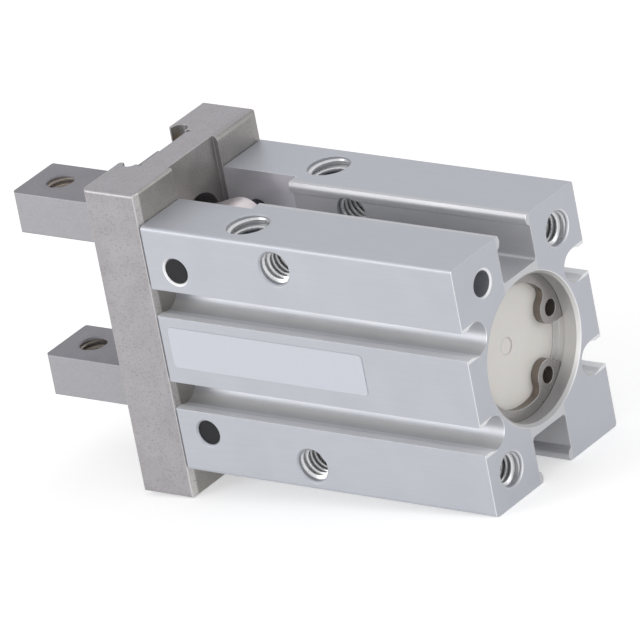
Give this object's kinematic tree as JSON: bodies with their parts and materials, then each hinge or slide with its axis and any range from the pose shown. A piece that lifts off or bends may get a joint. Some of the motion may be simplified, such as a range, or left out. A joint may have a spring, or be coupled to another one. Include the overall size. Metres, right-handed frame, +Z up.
{
  "type": "pneumatic gripper",
  "caption": "Parallel air gripper with square fingers sliding in a cross guide on a grooved metal body.",
  "frame": {"origin": "centre of the locating bore in the rear mounting face", "axes": "+X out of the rear face along the bore's axis, the fingers point to -X and open along Z; +Z up; the labelled near side faces -Y"},
  "size_m": [0.0683, 0.0237, 0.0382],
  "materials": {
    "anodised_aluminium": "satin clear anodised",
    "guide_steel": "ground, faintly speckled",
    "finger_steel": "fine milled",
    "lever_steel": "sintered",
    "shaft_steel": "dark hardened",
    "bearing_steel": "polished",
    "screw_steel": "plain",
    "ring_steel": "spring steel",
    "stopper_brass": "turned",
    "cap_plastic": "moulded off-white",
    "magnet_plastic": "bonded magnet",
    "seal_rubber": "moulded",
    "bumper_rubber": "moulded",
    "label_film": "bare silver-grey film"
  },
  "bodies": {
    "housing": {"body": "anodised_aluminium", "guide": "guide_steel", "guide_screws": "screw_steel", "guide_dowels": "bearing_steel", "ball_stoppers": "stopper_brass", "lever_shaft_upper": "shaft_steel", "lever_shaft_lower": "shaft_steel", "rod_seal": "seal_rubber", "rod_bumper": "bumper_rubber", "cap": "cap_plastic", "cap_seal": "seal_rubber", "cap_bumper": "bumper_rubber", "snap_ring": "ring_steel", "label": "label_film"},
    "piston_and_rod": {"piston": "anodised_aluminium", "piston_seal": "seal_rubber", "magnet": "magnet_plastic", "rod": "finger_steel"},
    "upper_finger": {"finger_upper": "finger_steel"},
    "lower_finger": {"finger_lower": "finger_steel"},
    "upper_lever": {"lever_upper": "lever_steel"},
    "lower_lever": {"lever_lower": "lever_steel"},
    "upper_balls": {"balls_upper": "bearing_steel"},
    "lower_balls": {"balls_lower": "bearing_steel"}
  },
  "joints": [
    {"name": "upper_finger_slide", "type": "slide", "parent": "housing", "child": "upper_finger", "axis": [0, 0, 1], "range_m": [-0.00032, 0.00267]},
    {"name": "lower_finger_slide", "type": "slide", "parent": "housing", "child": "lower_finger", "axis": [0, 0, -1], "range_m": [-0.00032, 0.00267]},
    {"name": "upper_lever_turn", "type": "hinge", "parent": "housing", "child": "upper_lever", "pos_m": [-0.0394, 0, 0.01015], "axis": [0, 1, 0], "range_deg": [-2.06, 16.91]},
    {"name": "lower_lever_turn", "type": "hinge", "parent": "housing", "child": "lower_lever", "pos_m": [-0.0394, 0, -0.01015], "axis": [0, 1, 0], "range_deg": [-16.91, 2.06]},
    {"name": "piston_slide", "type": "slide", "parent": "housing", "child": "piston_and_rod", "axis": [-1, 0, 0], "range_m": [-0.00028, 0.00228]},
    {"name": "upper_balls_roll", "type": "slide", "parent": "housing", "child": "upper_balls", "axis": [0, 0, 1], "range_m": [-0.00016, 0.00134]},
    {"name": "lower_balls_roll", "type": "slide", "parent": "housing", "child": "lower_balls", "axis": [0, 0, -1], "range_m": [-0.00016, 0.00134]}
  ],
  "couplings": [
    {"joint": "lower_finger_slide", "follows": "upper_finger_slide", "ratio": 1},
    {"joint": "upper_lever_turn", "follows": "upper_finger_slide", "rad_per_m": 110.31},
    {"joint": "lower_lever_turn", "follows": "upper_finger_slide", "rad_per_m": -110.31},
    {"joint": "piston_slide", "follows": "upper_finger_slide", "ratio": 0.85165},
    {"joint": "upper_balls_roll", "follows": "upper_finger_slide", "ratio": 0.5},
    {"joint": "lower_balls_roll", "follows": "upper_finger_slide", "ratio": 0.5}
  ]
}
